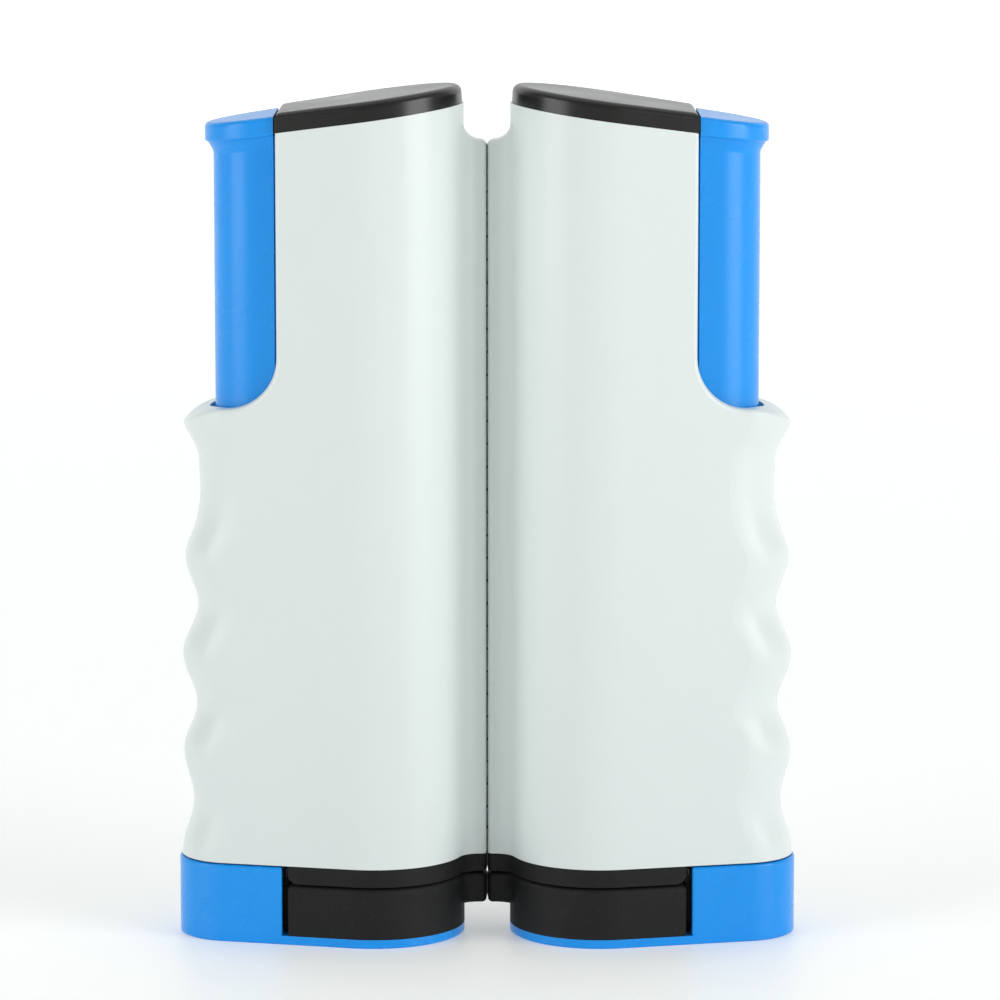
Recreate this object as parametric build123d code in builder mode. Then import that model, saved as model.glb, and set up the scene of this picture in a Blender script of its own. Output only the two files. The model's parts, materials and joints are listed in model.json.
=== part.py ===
import os
from math import asin, cos, hypot, pi, radians, sin, sqrt

from build123d import *

# A pair of clamp posts for a roll-up table tennis net, standing closed with their necks
# together. Millimetres. X runs along the net, -Y is the front, Z is up and the floor is Z = 0.
# Every piece is drawn for the right-hand post, whose X grows away from the meeting plane of
# the two necks; the left-hand post is its mirror image in that plane.

# Overall heights
overall_height = 187.0  # top plane, where it would cross the meeting plane
top_slope = 8.0  # degrees that the top plane falls towards the outer end
plate_top = 2.0  # base plate of the lower jaw
lower_pad_top = 13.3
upper_pad_bottom = 13.6  # rests on the table top
housing_bottom = 17.5
jaw_wall_top = 17.1
clamp_travel = 48.0

# Teardrop plan: a big round end at the net and a small round end outside
tube_x = 24.5
tube_radius = 19.5
end_x = 55.0
end_radius = 12.5
taper = (tube_radius - end_radius) / (end_x - tube_x)  # sine of the side walls' angle
flank = sqrt(1 - taper**2)  # and its cosine
cut_x = 45.0  # above the grip the housing ends here, beside the press column

# Neck that holds the net slot. Its end face leans, so the backs of the two necks meet first
neck_front = 0.2
neck_back = 0.003
neck_half = 2.8
neck_blend = 4.5  # concave radius from the neck into the round end
neck_top = 174.1
neck_corner = 1.6
neck_root = 3.5
neck_end_edge = 1.1
slot_half = 0.8
slot_bottom = 21.5
slot_top = 167.5
slot_inner_x = 7.4
slot_run_out = 0.4  # past the inner wall

# Housing shell
wall = 2.0
floor_top = 19.5
bulkhead_bottom = 170.3
bulkhead_top = 172.3
cap_height = 4.2
cap_end_x = 45.2
cap_draft_start = 176.0
cap_draft = 0.6  # inward lean of the cap's side at the top
cap_edge = 1.7
spigot_gap = 0.2
spigot_depth = 2.5

# Finger grip: height and reach of every crest and hollow, from the bottom of the housing up
grip_waves = [
    (housing_bottom, 67.0),
    (29.7, 64.3),
    (40.7, 66.4),
    (51.0, 63.4),
    (61.9, 66.4),
    (73.0, 63.0),
    (83.4, 65.7),
    (94.0, 62.7),
    (100.0, 62.3),
    (106.0, 62.8),
    (112.4, 65.6),
    (117.5, 66.4),
]
grip_top = 129.0
grip_step = 4.5  # between the sections that the grip is lofted through
grip_run_out = 3  # sections past each end, so that the loft is calm there
grip_spare = 0.01  # drawn this much too wide, then cut back to the flat sides
rim_z = 116.9  # edge of the opening that the press column enters
lip_middle = (63.2, 115.2)  # the rim falls through this point to the tip of the lip
lip_x = 68.0
lip_z = 110.6
lip_fall = 3.0  # how far below the tip the rounded edge may run
cut_radius = 11.5  # from the straight cut round to the rim
rim_edge = 1.0

# Press column and its flanged top
column_x = 45.45
column_inset = 3.0
column_reach = 58.9
flange_inset = 1.2
flange_reach = 60.7
flange_drop = 0.7  # flange top below the cap's top plane
flange_height = 4.1
flange_edge = 1.1
flange_under_edge = 0.6
flare_width = 1.15  # the column widens to meet the flange
flare_height = 2.2
flare_round = 2.0
column_bottom = 4.0
column_plug_top = 14.0
spring_rib = 125.0
rib_thickness = 2.0
column_void_top = 170.0
channel_clearance = 0.35
channel_outer_gap = 1.2  # wider at the outer end, inside the lip
rail_x = 44.6  # two rails on the column's flat side run in the housing's wall
rail_inner = 9.0
rail_inset = 4.2
rail_bottom = 19.0
rail_top = 175.6
seat_slot_bottom = 18.0
seat_slot_spare = 2.0
bore_run_out = 0.5

# Lower jaw
block_x = 44.5
block_wall = 2.2
jaw_edge = 0.5
pad_end_x = 43.2
pad_tongue_x = 44.3  # inside the gap beside the block each pad reaches nearly to it
pad_tongue_half = 11.0
pad_neck_bottom = 6.5
pad_outer_round = 2.2
pad_edge = 1.3
pad_neck_edge = 0.9
socket_gap = 0.1
jaw_screw_x = 52.0
jaw_screw_y = 6.0
jaw_screw_radius = 1.6
jaw_head_radius = 3.1
jaw_head_height = 1.5
jaw_screw_tip = 12.0

# Return spring of the clamp
spring_x = 52.4
clamp_coil_radius = 3.7
clamp_wire = 1.0
clamp_turns = 16
seat_bottom = 22.0
seat_top = 26.0
seat_half = 3.5
seat_pad_radius = 4.2
seat_lip = 1.6
rod_radius = 1.5
rod_top = 70.0
rod_chamfer = 0.4
spring_end_gap = 0.1

# Net roller
axle_radius = 2.0
axle_running = 0.06
axle_bottom = 18.3
axle_top = 173.6
core_radius = 6.5
core_bore = 5.3
roller_bottom = 20.2
roller_top = 168.6
flange_radius = 14.5
flange_thickness = 1.4
hub_depth = 8.0
hub_radius = 5.28
hub_to_spring = 1.0
roller_coil_radius = 3.6
roller_wire = 0.8
roller_turns = 24
roller_pitch = 4.4

# Net
net_bottom = 22.5
net_top = upper_pad_bottom + 152.5  # regulation height above the table
net_thickness = 0.5
roll_radius = 13.2
tape_height = 3.0

# Housing screws: place (x, z) of each and the depth of its head's seat from the mid-plane
shell_screws = [
    (41.2, 34.0, 12.2),
    (41.2, 96.0, 12.2),
    (41.2, 159.0, 12.2),
    (7.6, 171.2, 4.6),
    (62.4, 40.7, 5.6),
]
screw_radius = 1.25
screw_bore = 1.3
screw_tip = 8.0
screw_end_wall = 1.0  # left in front of a screw's tip
screw_head_radius = 2.3
screw_head_height = 1.6
screw_recess_radius = 2.7
boss_radius = 3.3
cross_half = 0.45
cross_length = 2.8
cross_depth = 0.9

near = 0.1  # tolerance when edges are picked by their place
facing = 0.99  # least cosine at which a face counts as facing a direction
slope = radians(top_slope)
top_plane = Plane(
    origin=(0, 0, overall_height),
    x_dir=(cos(slope), 0, -sin(slope)),
    z_dir=(sin(slope), 0, cos(slope)),
)


def side_y(x, inset=0.0):
    """Half-width of the teardrop between its two round ends."""
    return (tube_radius - inset - taper * (x - tube_x)) / flank


def teardrop(inset=0.0):
    """Draw the whole teardrop in the open sketch."""
    with Locations((tube_x, 0)):
        Circle(tube_radius - inset)
    with Locations((end_x, 0)):
        Circle(end_radius - inset)
    make_hull()


def keep_inside(x):
    """Keep only the net side of the open sketch, up to x."""
    with Locations((x, 0)):
        Rectangle(2 * end_x, 4 * tube_radius, align=(Align.MAX, Align.CENTER), mode=Mode.INTERSECT)


def keep_outside(x):
    """Keep only the outer side of the open sketch, from x."""
    with Locations((x, 0)):
        Rectangle(2 * end_x, 4 * tube_radius, align=(Align.MIN, Align.CENTER), mode=Mode.INTERSECT)


def round_end(start, reach, inset=0.0):
    """Draw the outer end of the teardrop from start, drawn in or let out to reach."""
    centre = (reach - (tube_radius - inset) - taper * tube_x) / (1 - taper)
    radius = reach - centre
    touch_x = centre + taper * radius
    touch_y = flank * radius
    start_y = side_y(start, inset)
    with BuildLine() as outline:
        Line((start, -start_y), (touch_x, -touch_y))
        ThreePointArc((touch_x, -touch_y), (reach, 0), (touch_x, touch_y))
        Line((touch_x, touch_y), (start, start_y))
        Line((start, start_y), (start, -start_y))
    make_face(outline.edges())


def grip_reach(z):
    """Reach of the grip at height z, easing from each crest to the next hollow."""
    if z <= grip_waves[0][0]:
        return grip_waves[0][1]
    for (low_z, low_reach), (high_z, high_reach) in zip(grip_waves, grip_waves[1:]):
        if z <= high_z:
            ease = (1 - cos(pi * (z - low_z) / (high_z - low_z))) / 2
            return low_reach + (high_reach - low_reach) * ease
    return grip_waves[-1][1]


def screw_length(seat_depth):
    """Length of a housing screw below its head."""
    return seat_depth + min(screw_tip, seat_depth - screw_end_wall)


def neck_outline(front, back):
    """Draw the neck in the open sketch, blended into the round end by a concave arc each side.
    Its end face runs from front to back, the X of its two edges."""
    lift = neck_half + neck_blend
    reach = tube_radius + neck_blend
    blend_x = tube_x - sqrt(reach**2 - lift**2)
    towards_tube = ((tube_x - blend_x) / reach, -lift / reach)
    touch_x = blend_x + neck_blend * towards_tube[0]
    touch_y = lift + neck_blend * towards_tube[1]
    half_way = hypot(towards_tube[0], towards_tube[1] - 1)
    middle_x = blend_x + neck_blend * towards_tube[0] / half_way
    middle_y = lift + neck_blend * (towards_tube[1] - 1) / half_way
    with BuildLine() as outline:
        Line((front, -neck_half), (blend_x, -neck_half))
        ThreePointArc((blend_x, -neck_half), (middle_x, -middle_y), (touch_x, -touch_y))
        Polyline((touch_x, -touch_y), (tube_x, 0), (touch_x, touch_y))
        ThreePointArc((touch_x, touch_y), (middle_x, middle_y), (blend_x, neck_half))
        Polyline((blend_x, neck_half), (back, neck_half), (front, -neck_half))
    make_face(outline.edges())


def round_neck_end(piece):
    """Round the front upright edge at the end of a neck. The back one meets the other neck's."""
    end_edges = piece.edges().filter_by(Axis.Z).sort_by(Axis.X)[:2]
    fillet(end_edges.sort_by(Axis.Y).first, neck_end_edge)


def faces_under(piece):
    """Faces of a piece that face down, square to the top plane."""
    return piece.faces().filter_by(lambda face: face.normal_at().dot(top_plane.z_dir) < -facing)


def pad_tongue(bottom, top):
    """Add the tongue that nearly closes the gap between a jaw pad and the block."""
    with BuildSketch(Plane.XY.offset(bottom)) as outline:
        with Locations((pad_tongue_x, 0)):
            Rectangle(pad_tongue_x - tube_x, 2 * pad_tongue_half, align=(Align.MAX, Align.CENTER))
    extrude(outline.sketch, amount=top - bottom)


def save_pair(piece, name):
    """Write the right-hand piece and its mirror image for the left-hand post."""
    piece.part.label = f"right_{name}"
    export_step(piece.part, f"parts/right_{name}.step")
    with BuildPart() as twin:
        mirror(piece.part, about=Plane.YZ)
    twin.part.label = f"left_{name}"
    export_step(twin.part, f"parts/left_{name}.step")


os.makedirs("parts", exist_ok=True)

# Neck of the housing: its plan, met by a side profile with a round shoulder
with BuildPart() as neck:
    with BuildSketch(Plane.XY.offset(housing_bottom)):
        neck_outline(neck_front, neck_back)
    extrude(amount=neck_top + 2 * neck_root - housing_bottom)
    round_neck_end(neck)
    with BuildSketch(Plane.XZ.offset(-tube_radius)):
        with BuildLine():
            Line((0, housing_bottom), (0, neck_top - neck_corner))
            RadiusArc((0, neck_top - neck_corner), (neck_corner, neck_top), neck_corner)
            RadiusArc((neck_corner, neck_top), (neck_corner + neck_root, neck_top + neck_root), -neck_root)
            Polyline(
                (neck_corner + neck_root, neck_top + neck_root),
                (tube_x, neck_top + neck_root),
                (tube_x, housing_bottom),
                (0, housing_bottom),
            )
        make_face()
    extrude(amount=2 * tube_radius, mode=Mode.INTERSECT)

# Finger grip: the round end lofted through evenly spaced sections, cut open above the rim
with BuildPart() as grip:
    steps = round((grip_top - housing_bottom) / grip_step)
    for step in range(-grip_run_out, steps + grip_run_out + 1):
        height = housing_bottom + grip_step * step
        with BuildSketch(Plane.XY.offset(height)):
            round_end(cut_x, grip_reach(height) + grip_spare, -grip_spare)
    loft()
    for side in (-1, 1):
        flat_side = Plane(origin=(end_x, side * side_y(end_x), 0), z_dir=(taper, side * flank, 0))
        split(bisect_by=flat_side, keep=Keep.BOTTOM)
    split(bisect_by=Plane.XY.offset(housing_bottom), keep=Keep.TOP)
    split(bisect_by=Plane.XY.offset(grip_top), keep=Keep.BOTTOM)
    with BuildSketch(Plane.XZ.offset(-tube_radius)):
        with BuildLine():
            RadiusArc((cut_x, rim_z + cut_radius), (cut_x + cut_radius, rim_z), -cut_radius)
            ThreePointArc((cut_x + cut_radius, rim_z), lip_middle, (lip_x, lip_z))
            Polyline(
                (lip_x, lip_z),
                (lip_x, 2 * grip_top),
                (cut_x, 2 * grip_top),
                (cut_x, rim_z + cut_radius),
            )
        make_face()
    extrude(amount=2 * tube_radius, mode=Mode.SUBTRACT)

# Room for the roller, with the screw bosses left standing in it
with BuildPart() as chamber:
    with BuildSketch(Plane.XY.offset(floor_top)):
        teardrop(wall)
        keep_inside(cut_x - wall)
    extrude(amount=bulkhead_bottom - floor_top)
    with BuildSketch(Plane.XY.offset(bulkhead_top)):
        teardrop(wall)
        keep_inside(cut_x - wall)
    extrude(amount=overall_height - bulkhead_top)
    for screw_x, screw_z, _ in shell_screws:
        with BuildSketch(Plane.XZ.offset(-tube_radius)):
            with Locations((screw_x, screw_z)):
                Circle(boss_radius)
        extrude(amount=2 * tube_radius, mode=Mode.SUBTRACT)

# Both halves of the housing before they are parted at the seam
with BuildPart() as housing:
    with BuildSketch(Plane.XY.offset(housing_bottom)):
        teardrop()
        keep_inside(cut_x)
    extrude(amount=overall_height - housing_bottom)
    split(bisect_by=top_plane.offset(-cap_height), keep=Keep.BOTTOM)
    add(neck.part)
    add(grip.part)
    rim_edges = [
        edge
        for edge in housing.edges()
        if edge.center().X > cut_x - near
        and lip_z - lip_fall < edge.center().Z < (grip_top + overall_height) / 2
        and not (edge.geom_type == GeomType.LINE and abs(edge.center().Y) < slot_half)
    ]
    fillet(rim_edges, rim_edge)
    add(chamber.part, mode=Mode.SUBTRACT)
    # Channel that guides the press column and its rails
    with BuildSketch(Plane.XY.offset(housing_bottom)):
        round_end(
            rail_x - channel_clearance,
            column_reach + channel_outer_gap,
            column_inset - channel_clearance,
        )
    extrude(amount=overall_height - housing_bottom, mode=Mode.SUBTRACT)
    # Slot for the net, through the neck into the chamber
    with BuildSketch(Plane.XY.offset(slot_bottom)):
        Rectangle(slot_inner_x + slot_run_out, 2 * slot_half, align=(Align.MIN, Align.CENTER))
    extrude(amount=slot_top - slot_bottom, mode=Mode.SUBTRACT)
    # Sockets for the roller's axle
    with BuildSketch(Plane.XY.offset(axle_bottom)):
        with Locations((tube_x, 0)):
            Circle(axle_radius)
    extrude(amount=axle_top - axle_bottom, mode=Mode.SUBTRACT)
    # Window for the spring seat
    with BuildSketch(Plane.XY.offset(seat_bottom)):
        with Locations((cut_x - 2 * wall, 0)):
            Rectangle(3 * wall, 2 * seat_half, align=(Align.MIN, Align.CENTER))
    extrude(amount=seat_top - seat_bottom, mode=Mode.SUBTRACT)
    # Screw holes, with a recess for each head in the back
    for screw_x, screw_z, seat_depth in shell_screws:
        with BuildSketch(Plane.XZ.offset(-seat_depth)):
            with Locations((screw_x, screw_z)):
                Circle(screw_bore)
        extrude(amount=screw_length(seat_depth) + bore_run_out, mode=Mode.SUBTRACT)
        with BuildSketch(Plane.XZ.offset(-seat_depth)):
            with Locations((screw_x, screw_z)):
                Circle(screw_recess_radius)
        extrude(amount=-tube_radius, mode=Mode.SUBTRACT)

with BuildPart() as front_shell:
    add(housing.part)
    split(bisect_by=Plane.XZ, keep=Keep.TOP)
save_pair(front_shell, "front_shell")

with BuildPart() as back_shell:
    add(housing.part)
    split(bisect_by=Plane.XZ, keep=Keep.BOTTOM)
save_pair(back_shell, "back_shell")

# Screws that close the housing, driven from the back
with BuildPart() as housing_screws:
    for screw_x, screw_z, seat_depth in shell_screws:
        with BuildSketch(Plane.XZ.offset(-seat_depth)):
            with Locations((screw_x, screw_z)):
                Circle(screw_radius)
        extrude(amount=screw_length(seat_depth))
        with BuildSketch(Plane.XZ.offset(-seat_depth)):
            with Locations((screw_x, screw_z)):
                Circle(screw_head_radius)
        extrude(amount=-screw_head_height)
        with BuildSketch(Plane.XZ.offset(-seat_depth - screw_head_height)):
            with Locations((screw_x, screw_z)):
                Rectangle(2 * cross_half, cross_length)
                Rectangle(cross_length, 2 * cross_half)
        extrude(amount=cross_depth, mode=Mode.SUBTRACT)
save_pair(housing_screws, "housing_screws")

# Top cap, drafted, with a spigot that fits inside the housing
with BuildPart() as spigot:
    with BuildSketch(Plane.XY.offset(cap_draft_start - cap_height)):
        teardrop(wall + spigot_gap)
        keep_inside(cut_x - wall - spigot_gap)
    extrude(amount=2 * cap_height)
    with BuildSketch(Plane.XY.offset(cap_draft_start - cap_height)):
        teardrop(2 * wall)
        keep_inside(cut_x - 2 * wall)
    extrude(amount=2 * cap_height, mode=Mode.SUBTRACT)
    split(bisect_by=top_plane.offset(-cap_height - spigot_depth), keep=Keep.TOP)
    split(bisect_by=top_plane.offset(-cap_height), keep=Keep.BOTTOM)

with BuildPart() as top_cap:
    with BuildSketch(Plane.XY.offset(cap_draft_start)):
        teardrop()
    with BuildSketch(Plane.XY.offset(overall_height)):
        teardrop(cap_draft)
    loft(ruled=True)
    split(bisect_by=Plane.YZ.offset(cap_end_x), keep=Keep.BOTTOM)
    split(bisect_by=top_plane, keep=Keep.BOTTOM)
    split(bisect_by=top_plane.offset(-cap_height), keep=Keep.TOP)
    fillet(top_cap.faces().sort_by(Axis.Z).last.edges(), cap_edge)
    add(spigot.part)
save_pair(top_cap, "top_cap")

# Upper jaw pad, bonded under the housing
with BuildPart() as upper_pad:
    with BuildSketch(Plane.XY.offset(upper_pad_bottom)):
        teardrop()
        neck_outline(neck_front, neck_back)
        keep_inside(pad_end_x)
    extrude(amount=housing_bottom - upper_pad_bottom)
    round_neck_end(upper_pad)
    outer_edge = upper_pad.faces().sort_by(Axis.X).last.edges().sort_by(Axis.Z).first
    fillet(outer_edge, pad_outer_round)
    pad_tongue(upper_pad_bottom + pad_outer_round, housing_bottom)
save_pair(upper_pad, "upper_pad")

# Lower jaw pad on the base plate; its neck stands clear of the floor
with BuildPart() as lower_pad:
    with BuildSketch(Plane.XY.offset(pad_neck_bottom)):
        neck_outline(neck_front, neck_back)
    extrude(amount=lower_pad_top - pad_neck_bottom)
    round_neck_end(lower_pad)
    under_edges = lower_pad.faces().sort_by(Axis.Z).first.edges()
    fillet([edge for edge in under_edges if edge.center().X < neck_blend], pad_neck_edge)
    with BuildSketch(Plane.XY.offset(plate_top)):
        teardrop()
        keep_inside(pad_end_x)
    extrude(amount=lower_pad_top - plate_top)
    fillet(lower_pad.faces().sort_by(Axis.Z).last.edges(), pad_edge)
    pad_tongue(plate_top, lower_pad_top - pad_edge)
save_pair(lower_pad, "lower_pad")

# Lower jaw: base plate and the outer block that takes the foot of the press column
with BuildPart() as lower_jaw:
    with BuildSketch(Plane.XY):
        teardrop()
    extrude(amount=plate_top)
    with BuildSketch(Plane.XY):
        teardrop()
        keep_outside(block_x)
    extrude(amount=jaw_wall_top)
    throat_edges = lower_jaw.edges().filter_by(Axis.Z).filter_by_position(Axis.X, block_x, block_x)
    outline_edges = lower_jaw.faces().sort_by(Axis.Z).first.edges()
    top_edges = lower_jaw.faces().sort_by(Axis.Z).last.edges()
    fillet([*throat_edges, *outline_edges, *top_edges], jaw_edge)
    with BuildSketch(Plane.XY.offset(column_bottom)):
        teardrop(block_wall)
        keep_outside(column_x + block_wall)
    extrude(amount=jaw_wall_top, mode=Mode.SUBTRACT)
    with BuildSketch(Plane.XY.offset(column_bottom)):
        round_end(column_x - socket_gap, column_reach + socket_gap, column_inset - socket_gap)
    extrude(amount=jaw_wall_top, mode=Mode.SUBTRACT)
    with Locations(Plane.XY):
        with Locations((jaw_screw_x, -jaw_screw_y), (jaw_screw_x, jaw_screw_y)):
            Cylinder(
                jaw_screw_radius,
                column_bottom,
                align=(Align.CENTER, Align.CENTER, Align.MIN),
                mode=Mode.SUBTRACT,
            )
            Cone(
                jaw_head_radius,
                jaw_screw_radius,
                jaw_head_height,
                align=(Align.CENTER, Align.CENTER, Align.MIN),
                mode=Mode.SUBTRACT,
            )
save_pair(lower_jaw, "lower_jaw")

# Countersunk screws from the base plate into the press column
with BuildPart() as jaw_screws:
    with Locations((jaw_screw_x, -jaw_screw_y), (jaw_screw_x, jaw_screw_y)):
        Cylinder(jaw_screw_radius, jaw_screw_tip, align=(Align.CENTER, Align.CENTER, Align.MIN))
        Cone(
            jaw_head_radius,
            jaw_screw_radius,
            jaw_head_height,
            align=(Align.CENTER, Align.CENTER, Align.MIN),
        )
        Box(
            cross_length,
            2 * cross_half,
            cross_depth,
            align=(Align.CENTER, Align.CENTER, Align.MIN),
            mode=Mode.SUBTRACT,
        )
        Box(
            2 * cross_half,
            cross_length,
            cross_depth,
            align=(Align.CENTER, Align.CENTER, Align.MIN),
            mode=Mode.SUBTRACT,
        )
save_pair(jaw_screws, "jaw_screws")

# Press column: a D-shaped hollow post with a solid foot, a rib that the spring pushes on and
# a flanged head that runs just below the cap's top plane
with BuildPart() as column_head:
    with BuildSketch(Plane.XY.offset(column_void_top)):
        round_end(column_x, flange_reach, flange_inset)
    extrude(amount=overall_height - column_void_top)
    split(bisect_by=top_plane.offset(-flange_drop), keep=Keep.BOTTOM)
    split(bisect_by=top_plane.offset(-flange_drop - flange_height), keep=Keep.TOP)
    fillet(column_head.faces().sort_by(Axis.Z).last.edges().sort_by(Axis.X)[1:], flange_edge)
    fillet(faces_under(column_head).edges().sort_by(Axis.X)[1:], flange_under_edge)

with BuildPart() as press_column:
    with BuildSketch(Plane.XY.offset(column_bottom)):
        round_end(column_x, column_reach, column_inset)
    extrude(amount=overall_height - column_bottom)
    split(bisect_by=top_plane.offset(-flange_drop - flange_height / 2), keep=Keep.BOTTOM)
    add(column_head.part)
    flange_under = faces_under(press_column).sort_by(Axis.Z).last
    column_edges = [
        edge
        for edge in flange_under.edges()
        if abs(edge.center().Y) < side_y(edge.center().X, column_inset) + near
        and column_x + near < edge.center().X < column_reach + near
    ]
    chamfer(column_edges, flare_width, length2=flare_height, reference=flange_under)
    flare_bottom = top_plane.offset(-flange_drop - flange_height - flare_height)
    flare_edges = [
        edge
        for edge in press_column.edges()
        if abs(flare_bottom.to_local_coords(edge.center()).Z) < near and edge.center().X > column_x + near
    ]
    fillet(flare_edges, flare_round)
    with BuildSketch(Plane.XY.offset(rail_bottom)):
        round_end(rail_x, column_reach, rail_inset)
        keep_inside(column_x + wall / 2)
        Rectangle(2 * end_x, 2 * rail_inner, mode=Mode.SUBTRACT)
    extrude(amount=rail_top - rail_bottom)
    voids = ((column_plug_top, spring_rib), (spring_rib + rib_thickness, column_void_top))
    for void_bottom, void_top in voids:
        with BuildSketch(Plane.XY.offset(void_bottom)):
            round_end(column_x + wall, column_reach - wall, column_inset + wall)
        extrude(amount=void_top - void_bottom, mode=Mode.SUBTRACT)
    # Slot that lets the fixed spring seat reach into the column over the whole travel
    with BuildSketch(Plane.XY.offset(seat_slot_bottom)):
        with Locations((column_x + wall / 2, 0)):
            Rectangle(2 * wall, 2 * (seat_half + slot_half))
    extrude(amount=seat_top + clamp_travel + seat_slot_spare - seat_slot_bottom, mode=Mode.SUBTRACT)
    with Locations((jaw_screw_x, -jaw_screw_y), (jaw_screw_x, jaw_screw_y)):
        Cylinder(
            jaw_screw_radius,
            jaw_screw_tip + bore_run_out,
            align=(Align.CENTER, Align.CENTER, Align.MIN),
            mode=Mode.SUBTRACT,
        )
save_pair(press_column, "press_column")

# Spring seat, held in the window of the housing wall, with its arm inside the column
with BuildPart() as spring_seat:
    with BuildSketch(Plane.XY.offset(seat_bottom)):
        Rectangle(spring_x, 2 * seat_half, align=(Align.MIN, Align.CENTER))
        keep_outside(cut_x - wall)
        with Locations((spring_x, 0)):
            Circle(seat_pad_radius)
    extrude(amount=seat_top - seat_bottom)
    with Locations((cut_x - wall, 0, (seat_bottom + seat_top) / 2)):
        Box(
            seat_lip,
            2 * seat_half + 2 * seat_lip,
            seat_top - seat_bottom + 2 * seat_lip,
            align=(Align.MAX, Align.CENTER, Align.CENTER),
        )
    with Locations((spring_x, 0, seat_top)):
        Hole(rod_radius, depth=seat_top - seat_bottom)
save_pair(spring_seat, "spring_seat")

# Guide rod that keeps the return spring straight
with BuildPart() as guide_rod:
    with BuildSketch(Plane.XY.offset(seat_bottom)):
        with Locations((spring_x, 0)):
            Circle(rod_radius)
    extrude(amount=rod_top - seat_bottom)
    chamfer(guide_rod.edges().sort_by(Axis.Z).last, rod_chamfer)
save_pair(guide_rod, "guide_rod")


def coil(centre_x, bottom, pitch, turns, coil_radius, wire):
    """Add a coil spring of round wire to the open part, standing on bottom."""
    rise = pitch * turns
    start = (centre_x, 0, bottom + wire / 2)
    path = Helix(pitch, rise, coil_radius, center=start, mode=Mode.PRIVATE)
    section = Plane(origin=path @ 0, z_dir=path % 0)
    disc = Sketch() + [Face(Wire.make_circle(wire / 2, section))]
    sweep(disc, path=path, is_frenet=True)


# Return spring between the seat and the rib inside the column
with BuildPart() as clamp_spring:
    coil(
        spring_x,
        seat_top + spring_end_gap,
        (spring_rib - seat_top - clamp_wire - 2 * spring_end_gap) / clamp_turns,
        clamp_turns,
        clamp_coil_radius,
        clamp_wire,
    )
save_pair(clamp_spring, "clamp_spring")

# Roller axle, held still in the floor and the bulkhead of the housing
with BuildPart() as roller_axle:
    with BuildSketch(Plane.XY.offset(axle_bottom)):
        with Locations((tube_x, 0)):
            Circle(axle_radius)
    extrude(amount=axle_top - axle_bottom)
    chamfer(roller_axle.edges().filter_by(GeomType.CIRCLE), rod_chamfer)
save_pair(roller_axle, "roller_axle")

# Roller core tube
with BuildPart() as roller_core:
    with BuildSketch(Plane.XY.offset(roller_bottom + flange_thickness)):
        with Locations((tube_x, 0)):
            Circle(core_radius)
            Circle(core_bore, mode=Mode.SUBTRACT)
    extrude(amount=roller_top - roller_bottom - 2 * flange_thickness)
save_pair(roller_core, "roller_core")

# End plugs of the roller: a flange that guides the net and a hub that runs on the axle
with BuildPart() as lower_plug:
    with Locations((tube_x, 0, roller_bottom)):
        Cylinder(flange_radius, flange_thickness, align=(Align.CENTER, Align.CENTER, Align.MIN))
        Cylinder(hub_radius, flange_thickness + hub_depth, align=(Align.CENTER, Align.CENTER, Align.MIN))
        Cylinder(
            axle_radius + axle_running,
            flange_thickness + hub_depth,
            align=(Align.CENTER, Align.CENTER, Align.MIN),
            mode=Mode.SUBTRACT,
        )
save_pair(lower_plug, "roller_lower_plug")

with BuildPart() as upper_plug:
    with Locations((tube_x, 0, roller_top)):
        Cylinder(flange_radius, flange_thickness, align=(Align.CENTER, Align.CENTER, Align.MAX))
        Cylinder(hub_radius, flange_thickness + hub_depth, align=(Align.CENTER, Align.CENTER, Align.MAX))
        Cylinder(
            axle_radius + axle_running,
            flange_thickness + hub_depth,
            align=(Align.CENTER, Align.CENTER, Align.MAX),
            mode=Mode.SUBTRACT,
        )
save_pair(upper_plug, "roller_upper_plug")

# Torsion spring inside the roller, which winds the net back in
with BuildPart() as roller_spring:
    coil(
        tube_x,
        roller_bottom + flange_thickness + hub_depth + hub_to_spring,
        roller_pitch,
        roller_turns,
        roller_coil_radius,
        roller_wire,
    )
save_pair(roller_spring, "roller_spring")

# Net wound on the roller
with BuildPart() as net_roll:
    with BuildSketch(Plane.XY.offset(net_bottom)):
        with Locations((tube_x, 0)):
            Circle(roll_radius)
            Circle(core_radius, mode=Mode.SUBTRACT)
    extrude(amount=net_top - net_bottom)
save_pair(net_roll, "net_roll")


def net_run():
    """Draw the net's path in plan, from one roll through both neck slots to the other."""
    reach = tube_x - slot_inner_x
    hug = asin((roll_radius + 2 * net_thickness) / reach)
    run = sqrt(reach**2 - (roll_radius + 2 * net_thickness) ** 2)
    off_x = slot_inner_x + run * cos(hug)
    off_y = run * sin(hug)
    with BuildLine() as path:
        Polyline((-off_x, off_y), (-slot_inner_x, 0), (slot_inner_x, 0), (off_x, off_y))
        offset(amount=net_thickness / 2, side=Side.BOTH)
    make_face(path.edges())


# Net between the two rollers, with the tape sewn along its top edge
with BuildPart() as net_mesh:
    with BuildSketch(Plane.XY.offset(net_bottom)):
        net_run()
    extrude(amount=net_top - tape_height - net_bottom)
net_mesh.part.label = "net_mesh"
export_step(net_mesh.part, "parts/net_mesh.step")

with BuildPart() as net_tape:
    with BuildSketch(Plane.XY.offset(net_top - tape_height)):
        net_run()
    extrude(amount=tape_height)
net_tape.part.label = "net_tape"
export_step(net_tape.part, "parts/net_tape.step")
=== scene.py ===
import json
import math

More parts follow.
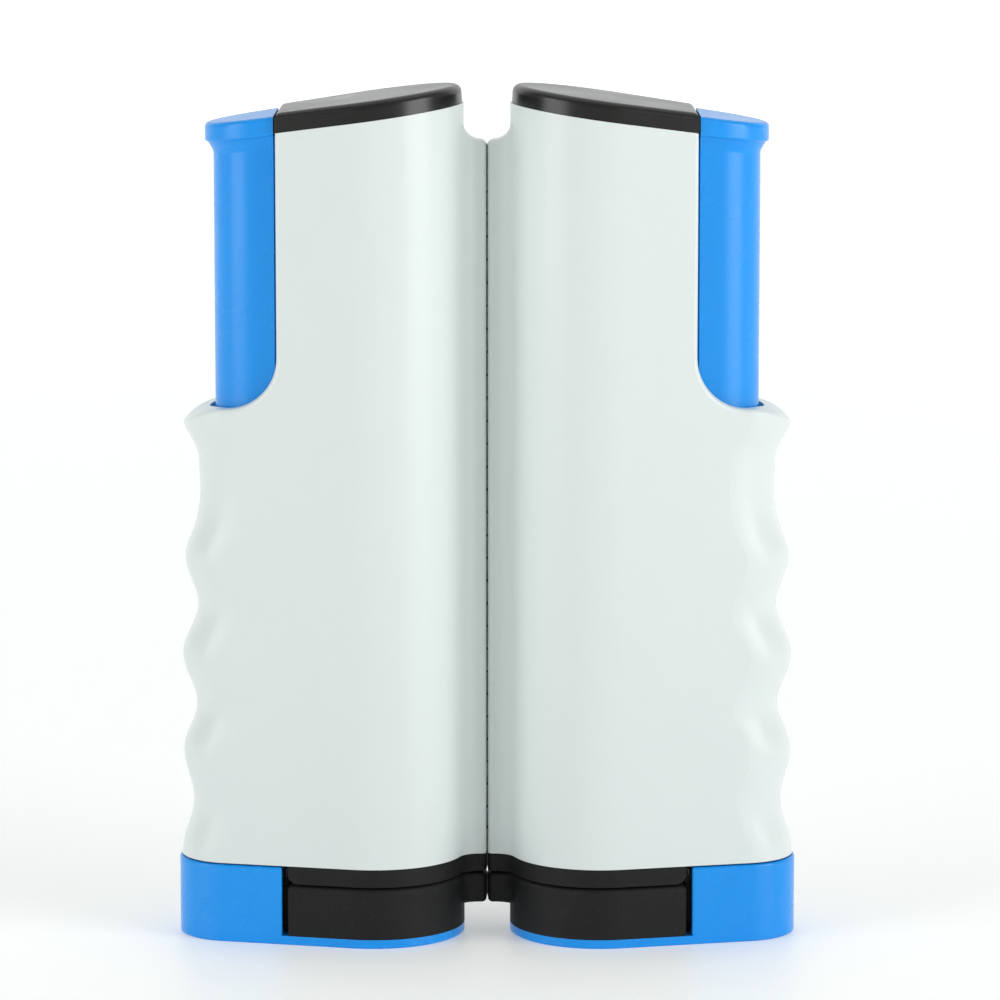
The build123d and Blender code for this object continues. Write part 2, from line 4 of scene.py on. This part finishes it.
import bmesh
import bpy
import numpy as np
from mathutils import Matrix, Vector


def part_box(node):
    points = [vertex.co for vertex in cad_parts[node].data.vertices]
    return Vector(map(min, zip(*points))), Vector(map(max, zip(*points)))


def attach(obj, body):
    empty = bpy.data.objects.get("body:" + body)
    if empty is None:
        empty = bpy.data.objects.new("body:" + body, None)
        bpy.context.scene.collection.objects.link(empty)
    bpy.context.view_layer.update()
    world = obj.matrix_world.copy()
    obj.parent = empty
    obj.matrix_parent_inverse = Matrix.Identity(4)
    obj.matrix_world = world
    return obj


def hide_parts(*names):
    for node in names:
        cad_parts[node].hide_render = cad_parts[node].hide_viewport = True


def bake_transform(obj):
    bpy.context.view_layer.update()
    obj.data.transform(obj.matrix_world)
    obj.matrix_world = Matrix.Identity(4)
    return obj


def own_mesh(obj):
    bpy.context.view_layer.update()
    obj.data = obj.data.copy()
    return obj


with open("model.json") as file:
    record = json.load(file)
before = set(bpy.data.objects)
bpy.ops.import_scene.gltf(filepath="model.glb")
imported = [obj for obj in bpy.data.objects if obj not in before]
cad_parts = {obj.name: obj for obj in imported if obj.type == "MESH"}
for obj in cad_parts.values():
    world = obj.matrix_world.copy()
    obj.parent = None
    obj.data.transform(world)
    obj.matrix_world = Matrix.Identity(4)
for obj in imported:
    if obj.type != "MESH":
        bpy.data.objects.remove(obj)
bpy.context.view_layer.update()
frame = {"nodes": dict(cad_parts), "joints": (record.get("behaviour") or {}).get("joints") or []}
nodes = frame["nodes"]
joints = {j["name"]: j for j in frame["joints"]}
scene = bpy.context.scene


# ---------------------------------------------------------------- node helpers


def new_material(name):
    """A new material with one Principled shader joined to its output."""
    m = bpy.data.materials.new(name)
    m.use_nodes = True
    tree = m.node_tree
    for n in list(tree.nodes):
        tree.nodes.remove(n)
    out = tree.nodes.new("ShaderNodeOutputMaterial")
    shader = tree.nodes.new("ShaderNodeBsdfPrincipled")
    tree.links.new(shader.outputs[0], out.inputs[0])
    return m, tree, shader


def place(tree, scale=(1, 1, 1)):
    """Object coordinates in metres, times scale: below 1 stretches a texture along that axis."""
    coord = tree.nodes.new("ShaderNodeTexCoord")
    mapping = tree.nodes.new("ShaderNodeMapping")
    mapping.inputs["Scale"].default_value = scale
    tree.links.new(coord.outputs["Object"], mapping.inputs["Vector"])
    return mapping.outputs[0]


def noise(tree, vector, scale, detail=3.0, rough=0.55, distortion=0.0):
    n = tree.nodes.new("ShaderNodeTexNoise")
    n.inputs["Scale"].default_value = scale
    n.inputs["Detail"].default_value = detail
    n.inputs["Roughness"].default_value = rough
    n.inputs["Distortion"].default_value = distortion
    tree.links.new(vector, n.inputs["Vector"])
    return n.outputs["Fac"]


def voronoi(tree, vector, scale):
    n = tree.nodes.new("ShaderNodeTexVoronoi")
    n.inputs["Scale"].default_value = scale
    tree.links.new(vector, n.inputs["Vector"])
    return n.outputs["Distance"]


def remap(tree, value, low, high, to_low=0.0, to_high=1.0):
    """Value from low..high to to_low..to_high, held at the ends."""
    n = tree.nodes.new("ShaderNodeMapRange")
    n.inputs["From Min"].default_value = low
    n.inputs["From Max"].default_value = high
    n.inputs["To Min"].default_value = to_low
    n.inputs["To Max"].default_value = to_high
    tree.links.new(value, n.inputs["Value"])
    return n.outputs["Result"]


def calc(tree, kind, a, b=None):
    """One Math node. a and b are sockets or plain numbers."""
    n = tree.nodes.new("ShaderNodeMath")
    n.operation = kind
    for i, v in enumerate((a, b)):
        if v is None:
            continue
        if isinstance(v, (int, float)):
            n.inputs[i].default_value = v
        else:
            tree.links.new(v, n.inputs[i])
    return n.outputs[0]


def mix(tree, factor, a, b):
    """Colour a where factor is 0 and b where it is 1. Each is a socket, a number or a colour."""
    n = tree.nodes.new("ShaderNodeMix")
    n.data_type = "RGBA"
    for i, v in ((0, factor), (6, a), (7, b)):
        if isinstance(v, (int, float)):
            n.inputs[i].default_value = v
        elif isinstance(v, tuple):
            n.inputs[i].default_value = (*v, 1)
        else:
            tree.links.new(v, n.inputs[i])
    return n.outputs[2]


def bump(tree, height, strength, distance, after=None):
    """Bump of a height that stands distance metres tall, on top of the bump in after."""
    n = tree.nodes.new("ShaderNodeBump")
    n.inputs["Strength"].default_value = strength
    n.inputs["Distance"].default_value = distance
    tree.links.new(height, n.inputs["Height"])
    if after is not None:
        tree.links.new(after, n.inputs["Normal"])
    return n.outputs[0]


def axes(tree):
    """The X, Y and Z sockets of the object coordinates."""
    coord = tree.nodes.new("ShaderNodeTexCoord")
    split = tree.nodes.new("ShaderNodeSeparateXYZ")
    tree.links.new(coord.outputs["Object"], split.inputs[0])
    return split.outputs


def moulded(name, colour, deep, rough, texture, coat=0.0, scuff=0.5, specular=0.5, parting=False):
    """Moulded plastic: faint flow marks, a fine spark-eroded skin, small scuffs and dust."""
    m, tree, shader = new_material(name)
    where = place(tree)
    flow = noise(tree, place(tree, (1, 1, 0.35)), 26, 4, 0.6, 0.6)
    skin = noise(tree, where, 2600, 2, 0.6)
    broad = noise(tree, where, 60, 3)
    speck = remap(tree, noise(tree, where, 900, 4, 0.7), 0.66, 0.74)
    rub = remap(tree, noise(tree, place(tree, (1, 1, 0.25)), 420, 5, 0.7, 1.2), 0.62, 0.78)
    patch = remap(tree, noise(tree, where, 38, 2), 0.5, 0.72)
    worn = calc(tree, "MULTIPLY", calc(tree, "MULTIPLY", rub, patch), scuff)
    base = mix(tree, remap(tree, flow, 0.3, 0.7), colour, deep)
    speckled = calc(tree, "MULTIPLY", speck, 0.10 * scuff)
    base = mix(tree, speckled, base, tuple(0.45 * c for c in colour))
    lighter = tuple(min(1.0, 0.55 * c + 0.30) for c in colour)
    base = mix(tree, calc(tree, "MULTIPLY", worn, 0.35), base, lighter)
    if parting:  # the mould's parting line, on the mid-plane
        side = calc(tree, "ABSOLUTE", axes(tree)[1])
        line = remap(tree, side, 0.00003, 0.00012, 1, 0)
        base = mix(tree, calc(tree, "MULTIPLY", line, 0.55), base, tuple(0.35 * c for c in colour))
    tree.links.new(base, shader.inputs["Base Color"])
    gloss = calc(tree, "ADD", remap(tree, broad, 0.3, 0.7, rough - 0.04, rough + 0.04),
                 calc(tree, "MULTIPLY", worn, 0.16))
    tree.links.new(gloss, shader.inputs["Roughness"])
    first = bump(tree, broad, 0.04, 0.0006)
    tree.links.new(bump(tree, skin, texture, 0.00004, first), shader.inputs["Normal"])
    shader.inputs["Specular IOR Level"].default_value = specular
    shader.inputs["IOR"].default_value = 1.5
    shader.inputs["Coat Weight"].default_value = coat
    shader.inputs["Coat Roughness"].default_value = 0.12
    return m


def rubber(name, colour):
    """Soft black rubber: matt, with a fine pebbled grain and a little dust in it."""
    m, tree, shader = new_material(name)
    where = place(tree)
    grain = voronoi(tree, where, 1500)
    cloudy = noise(tree, where, 120, 4, 0.6)
    dust = remap(tree, noise(tree, where, 1800, 3, 0.75), 0.62, 0.72)
    base = mix(tree, remap(tree, cloudy, 0.3, 0.7), colour, tuple(1.5 * c for c in colour))
    base = mix(tree, calc(tree, "MULTIPLY", dust, 0.10), base, (0.22, 0.22, 0.21))
    tree.links.new(base, shader.inputs["Base Color"])
    tree.links.new(remap(tree, cloudy, 0.3, 0.7, 0.58, 0.70), shader.inputs["Roughness"])
    first = bump(tree, cloudy, 0.10, 0.0004)
    tree.links.new(bump(tree, grain, 0.35, 0.00008, first), shader.inputs["Normal"])
    shader.inputs["Specular IOR Level"].default_value = 0.30
    return m


def metal(name, colour, rough, direction=(1, 1, 1), scale=900, oil=0.0):
    """Drawn, turned or rolled metal: fine marks along one direction, with a few darker spots."""
    m, tree, shader = new_material(name)
    marks = noise(tree, place(tree, direction), scale, 4, 0.65)
    spots = remap(tree, noise(tree, place(tree), 700, 4, 0.7), 0.60, 0.74)
    base = mix(tree, remap(tree, marks, 0.3, 0.7), colour, tuple(0.78 * c for c in colour))
    spotted = calc(tree, "MULTIPLY", spots, 0.25 + oil)
    base = mix(tree, spotted, base, tuple(0.3 * c for c in colour))
    tree.links.new(base, shader.inputs["Base Color"])
    gloss = remap(tree, marks, 0.3, 0.7, rough - 0.06, rough + 0.10)
    tree.links.new(gloss, shader.inputs["Roughness"])
    tree.links.new(bump(tree, marks, 0.12, 0.00005), shader.inputs["Normal"])
    shader.inputs["Metallic"].default_value = 1.0
    return m


def knitted(name, colour, dark, pitch):
    """Knitted polyester: each thread shows its loops as small ridges, with a soft sheen."""
    m, tree, shader = new_material(name)
    z = axes(tree)[2]
    loops = calc(tree, "SINE", calc(tree, "MULTIPLY", z, 2 * math.pi / pitch))
    fuzz = noise(tree, place(tree), 2400, 3, 0.7)
    height = calc(tree, "ADD", calc(tree, "MULTIPLY", loops, 0.4), fuzz)
    tone = remap(tree, height, 0.2, 1.0)
    tree.links.new(mix(tree, tone, dark, colour), shader.inputs["Base Color"])
    tree.links.new(remap(tree, fuzz, 0.3, 0.7, 0.72, 0.9), shader.inputs["Roughness"])
    tree.links.new(bump(tree, height, 0.5, 0.00012), shader.inputs["Normal"])
    shader.inputs["Sheen Weight"].default_value = 0.25
    shader.inputs["Sheen Roughness"].default_value = 0.4
    shader.inputs["Specular IOR Level"].default_value = 0.3
    return m


def stitched(name, colour, thread, top, bottom):
    """Woven white tape folded over the net's edge, with two rows of lock stitches."""
    m, tree, shader = new_material(name)
    z = axes(tree)[2]
    rib = 0.0004
    ribs = calc(tree, "SINE", calc(tree, "MULTIPLY", z, 2 * math.pi / rib))
    weave = noise(tree, place(tree), 3200, 2, 0.6)
    height = calc(tree, "ADD", calc(tree, "MULTIPLY", ribs, 0.3), weave)
    rows = None
    inset = 0.0006
    for edge in (bottom + inset, top - inset):
        off = calc(tree, "ABSOLUTE", calc(tree, "SUBTRACT", z, edge))
        near = remap(tree, off, 0.00010, 0.00022, 1, 0)
        rows = near if rows is None else calc(tree, "MAXIMUM", rows, near)
    base = mix(tree, remap(tree, height, 0.2, 1.0), tuple(0.82 * c for c in colour), colour)
    base = mix(tree, calc(tree, "MULTIPLY", rows, 0.5), base, thread)
    tree.links.new(base, shader.inputs["Base Color"])
    tree.links.new(remap(tree, weave, 0.3, 0.7, 0.7, 0.88), shader.inputs["Roughness"])
    tree.links.new(bump(tree, height, 0.4, 0.0001), shader.inputs["Normal"])
    shader.inputs["Sheen Weight"].default_value = 0.2
    return m


# ---------------------------------------------------------------- mesh helpers


def add_box(bm, x0, x1, y0, y1, z0, z1):
    """A closed box between the two values on each axis."""
    corners = [(x0, y0, z0), (x1, y0, z0), (x1, y1, z0), (x0, y1, z0),
               (x0, y0, z1), (x1, y0, z1), (x1, y1, z1), (x0, y1, z1)]
    v = [bm.verts.new(c) for c in corners]
    for f in ((0, 3, 2, 1), (4, 5, 6, 7), (0, 1, 5, 4), (1, 2, 6, 5), (2, 3, 7, 6), (3, 0, 4, 7)):
        bm.faces.new([v[i] for i in f])


def add_strip(bm, path, y_half, z0, z1):
    """A flat thread or tape that follows path in plan, from z0 to z1."""
    rings = []
    for i, (x, y) in enumerate(path):
        before, after = path[max(i - 1, 0)], path[min(i + 1, len(path) - 1)]
        along = Vector((after[0] - before[0], after[1] - before[1], 0)).normalized()
        out = Vector((-along.y, along.x, 0)) * y_half
        corners = ((-1, z0), (1, z0), (1, z1), (-1, z1))
        rings.append([bm.verts.new(Vector((x, y, z)) + out * s) for s, z in corners])
    for a, b in zip(rings, rings[1:]):
        for k in range(4):
            bm.faces.new([a[k], b[k], b[(k + 1) % 4], a[(k + 1) % 4]])
    bm.faces.new(rings[0][::-1])
    bm.faces.new(rings[-1])


def finish_mesh(bm, name, material):
    """The object made from bm, which is freed."""
    bmesh.ops.recalc_face_normals(bm, faces=bm.faces)
    mesh = bpy.data.meshes.new(name)
    bm.to_mesh(mesh)
    bm.free()
    mesh.materials.append(material)
    o = bpy.data.objects.new(name, mesh)
    scene.collection.objects.link(o)
    return o


def smooth(o, degrees=None):
    """Smooth shading. Edges that turn by more than degrees stay sharp."""
    for f in o.data.polygons:
        f.use_smooth = True
    if degrees is not None:
        o.data.set_sharp_from_angle(angle=math.radians(degrees))


def spring_height(t, closed=0.05, slow=0.25):
    """
    Share of the height that the wire has climbed after the share t of its length. The share
    closed at each end climbs at slow times the average rate, as the end coils of a spring do.
    """
    steep = (1 - 2 * closed * slow) / (1 - 2 * closed)
    if t < closed:
        return slow * t
    if t > 1 - closed:
        return 1 - slow * (1 - t)
    return slow * closed + steep * (t - closed)


def add_coil(bm, centre, radius, low, high, wire, coils):
    """Round wire of diameter wire, wound up from low to high and capped at both ends."""
    steps, sides = coils * 32, 10
    rings = []
    for i in range(steps + 1):
        t = i / steps
        a = 2 * math.pi * coils * t
        out = Vector((math.cos(a), math.sin(a), 0))
        spot = centre + out * radius
        spot.z = low + wire / 2 + (high - low - wire) * spring_height(t)
        ring = []
        for k in range(sides):
            b = 2 * math.pi * k / sides
            way = out * math.cos(b) + Vector((0, 0, math.sin(b)))
            ring.append(bm.verts.new(spot + way * wire / 2))
        rings.append(ring)
    for a, b in zip(rings, rings[1:]):
        for k in range(sides):
            bm.faces.new([a[k], a[(k + 1) % sides], b[(k + 1) % sides], b[k]])
    bm.faces.new(rings[0])
    bm.faces.new(rings[-1][::-1])


# ---------------------------------------------------------------- the finishes

GREY = moulded("grey_moulded", (0.700, 0.758, 0.742), (0.686, 0.744, 0.730), 0.34, 0.10,
               coat=0.08, scuff=0.35, parting=True)
BLUE = moulded("blue_moulded", (0.001, 0.295, 0.84), (0.001, 0.272, 0.80), 0.27, 0.08,
               scuff=0.30, specular=0.40)
CAP = moulded("black_moulded", (0.004, 0.0042, 0.0040), (0.009, 0.0085, 0.0075), 0.27, 0.16,
              scuff=1.2)
RUBBER = rubber("black_rubber_grain", (0.004, 0.004, 0.004))
NYLON = moulded("dark_nylon_moulded", (0.030, 0.031, 0.034), (0.040, 0.041, 0.045), 0.46, 0.14,
                scuff=0.4)
SCREW = metal("zinc_steel", (0.62, 0.62, 0.60), 0.30, (1, 1, 0.2), 1400)
BRIGHT = metal("drawn_steel", (0.66, 0.67, 0.69), 0.24, (1, 1, 0.08), 1800)
SPRING = metal("spring_wire", (0.42, 0.42, 0.44), 0.33, (0.3, 0.3, 1), 1500, oil=0.2)

FINISH = {
    "front_shell": GREY,
    "back_shell": GREY,
    "top_cap": CAP,
    "upper_pad": RUBBER,
    "lower_pad": RUBBER,
    "lower_jaw": BLUE,
    "press_column": BLUE,
    "spring_seat": NYLON,
    "roller_core": NYLON,
    "roller_lower_plug": NYLON,
    "roller_upper_plug": NYLON,
    "housing_screws": SCREW,
    "jaw_screws": SCREW,
    "guide_rod": BRIGHT,
    "roller_axle": BRIGHT,
    "roller_spring": SPRING,
}
for side in ("left", "right"):
    for part, material in FINISH.items():
        mesh = nodes[f"{side}_{part}"].data
        mesh.materials.clear()
        mesh.materials.append(material)

# ---------------------------------------------------------------- the net

net_low, net_mesh_top = (c.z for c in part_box("net_mesh"))
tape_low, net_high = (c.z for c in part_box("net_tape"))
pull = joints["net_pull"]["range_m"][1]
turn = (0.0074, 0.0)  # the bend inside the neck, in x and y
tangent = (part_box("net_mesh")[1].x - 0.0003, 0.0082)  # the end at the roller
thread = 0.0006
thin = 0.00010
tape_half = 0.00022
pitch = 0.005
half_blend = 0.0070  # the stretch of net that grows when it is pulled out
NET = knitted("net_thread", (0.022, 0.023, 0.026), (0.006, 0.006, 0.007), 0.0006)
TAPE = stitched("net_hem", (0.80, 0.80, 0.77), (0.93, 0.93, 0.90), net_high, tape_low)


def share(x):
    t = np.clip((x + half_blend) / (2 * half_blend), 0, 1)
    return t * t * (3 - 2 * t)


def at_rest(pulled):
    """Where a place along the pulled-out net lies when the net is wound in."""
    low = np.full_like(pulled, -half_blend)
    high = np.full_like(pulled, half_blend)
    for _ in range(48):
        middle = (low + high) / 2
        short = middle + pull * share(middle) < pulled
        low = np.where(short, middle, low)
        high = np.where(short, high, middle)
    inside = (low + high) / 2
    inside = np.where(pulled < -half_blend, pulled, inside)
    return np.where(pulled > half_blend + pull, pulled - pull, inside)


route = [(-tangent[0], tangent[1]), (-turn[0], 0.0), (turn[0], 0.0), (tangent[0], tangent[1])]

bm = bmesh.new()
first, last = -turn[0], turn[0] + pull
count = int(round((last - first) / pitch))
centres = first + (last - first) * (np.arange(count) + 0.5) / count
starts, ends = at_rest(centres - thread / 2), at_rest(centres + thread / 2)
for a, b in zip(starts, ends):
    add_box(bm, a, b, -thin / 2, thin / 2, net_low, net_mesh_top)
rows = int(round((net_mesh_top - net_low) / pitch))
for i in range(rows + 1):
    z = net_low + (net_mesh_top - net_low) * i / rows
    z = min(max(z, net_low + thread / 2), net_mesh_top - thread / 2)
    add_strip(bm, route, thin * 0.9, z - thread / 2, z + thread / 2)
net = finish_mesh(bm, "net_threads", NET)
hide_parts("net_mesh")
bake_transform(net)

bm = bmesh.new()
add_strip(bm, route, tape_half, tape_low, net_high)
hem = finish_mesh(bm, "net_top_hem", TAPE)
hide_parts("net_tape")
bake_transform(hem)

# The rest of the net, wound on each roller
LAYERED = knitted("net_wound", (0.030, 0.031, 0.035), (0.008, 0.008, 0.009), 0.0050)
turns = 14
roll_half = 0.00015
core_gap = 0.0003
roll_inset = 0.0002
for side in ("left", "right"):
    low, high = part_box(f"{side}_net_roll")
    middle = (low + high) / 2
    outer = (high.x - low.x) / 2
    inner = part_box(f"{side}_roller_core")
    inner = (inner[1].x - inner[0].x) / 2 + core_gap
    steps = turns * 48
    sense = 1 if side == "left" else -1
    points = []
    for i in range(steps + 1):
        t = i / steps
        r = inner + (outer - roll_inset - inner) * t
        a = sense * 2 * math.pi * turns * t
        points.append((middle.x + r * math.cos(a), middle.y + r * math.sin(a)))
    bm = bmesh.new()
    add_strip(bm, points, roll_half, low.z, high.z)
    roll = finish_mesh(bm, f"{side}_wound_net", LAYERED)
    smooth(roll, 40)
    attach(roll, f"{side}_roller")
    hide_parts(f"{side}_net_roll")

# ---------------------------------------------------------------- return springs

wire = 0.0010
coils = 16
for side in ("left", "right"):
    low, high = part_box(f"{side}_clamp_spring")
    middle = (low + high) / 2
    bm = bmesh.new()
    centre = Vector((middle.x, middle.y, 0))
    add_coil(bm, centre, (high.x - low.x - wire) / 2, low.z, high.z, wire, coils)
    spring = finish_mesh(bm, f"{side}_return_spring", SPRING)
    smooth(spring, 50)
    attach(spring, f"{side}_post")
    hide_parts(f"{side}_clamp_spring")
    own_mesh(spring)

# ---------------------------------------------------------------- floor, light, camera


def glowing_stage(name, colour, rough, specular):
    """White paint that glows as painted light, more the further it lies from the object, as a lit
    sweep does.
    """
    m, tree, shader = new_material(name)
    cloud = noise(tree, place(tree), 3, 3)
    clouded = mix(tree, cloud, colour, tuple(0.985 * c for c in colour))
    tree.links.new(clouded, shader.inputs["Base Color"])
    coord = tree.nodes.new("ShaderNodeTexCoord")
    reach = tree.nodes.new("ShaderNodeVectorMath")
    reach.operation = "LENGTH"
    tree.links.new(coord.outputs["Object"], reach.inputs[0])
    # painted light: the floor glows, weakly near the object and more strongly further out
    glow = remap(tree, reach.outputs["Value"], 0.10, 2.2, 0.20, 0.545)
    tree.links.new(glow, shader.inputs["Emission Strength"])
    shader.inputs["Emission Color"].default_value = (0.985, 1.0, 0.99, 1)
    shader.inputs["Roughness"].default_value = rough
    shader.inputs["Specular IOR Level"].default_value = specular
    return m


def floor_sheet():
    """A wide pale floor that turns up into a backdrop far behind the object."""
    bm = bmesh.new()
    front, back, bend, top, half_width = -6.0, 3.0, 2.0, 8.0, 7
    profile = [(front, 0.0), (back, 0.0)]
    for a in np.linspace(0.1, math.pi / 2, 14):
        profile.append((back + bend * math.sin(a), bend - bend * math.cos(a)))
    profile.append((back + bend, top))
    rows = []
    for x in np.linspace(-half_width, half_width, 8):
        rows.append([bm.verts.new((x, y, z)) for y, z in profile])
    for a, b in zip(rows, rows[1:]):
        for i in range(len(profile) - 1):
            bm.faces.new([a[i], b[i], b[i + 1], a[i + 1]])
    paint = glowing_stage("glowing_floor_paint", (0.83, 0.845, 0.835), 0.42, 0.35)
    return finish_mesh(bm, "pale_floor", paint)


floor = floor_sheet()
smooth(floor)

world = bpy.data.worlds.new("studio")
scene.world = world
world.use_nodes = True
sky = world.node_tree.nodes["Background"]
sky.inputs["Color"].default_value = (1.0, 1.0, 1.0, 1)
sky.inputs["Strength"].default_value = 0.38


def link_facing(name, data, where, target):
    """A light or camera that stands at where and faces target."""
    o = bpy.data.objects.new(name, data)
    o.location = where
    o.rotation_mode = "QUATERNION"
    o.rotation_quaternion = (Vector(target) - Vector(where)).to_track_quat("-Z", "Y")
    scene.collection.objects.link(o)
    return o


def softbox(name, where, size, power):
    """A soft rectangular lamp that faces the middle of the object."""
    data = bpy.data.lights.new(name, "AREA")
    data.shape = "RECTANGLE"
    data.size, data.size_y = size
    data.energy = power
    link_facing(name, data, where, (0, 0, 0.09))


softbox("left_softbox", (-1.30, -0.70, 0.45), (0.9, 1.3), 10.5)
softbox("right_softbox", (1.30, -0.75, 0.45), (0.9, 1.3), 15.5)
softbox("top_softbox", (0.0, 0.2, 1.5), (1.6, 1.2), 4)

scene.view_settings.view_transform = "Standard"
scene.view_settings.look = "None"
scene.view_settings.exposure = 0.0
scene.view_settings.gamma = 1.0

camera = bpy.data.cameras.new("camera")
camera.sensor_width = 36.0
camera.lens = 180.0
camera.clip_start, camera.clip_end = 0.05, 60
aim = Vector((0.0028, 0, 0.0955))
lift = math.radians(8.6)
away = 1.088
stand = aim + Vector((0, -math.cos(lift), math.sin(lift))) * away
scene.camera = link_facing("camera", camera, stand, aim)
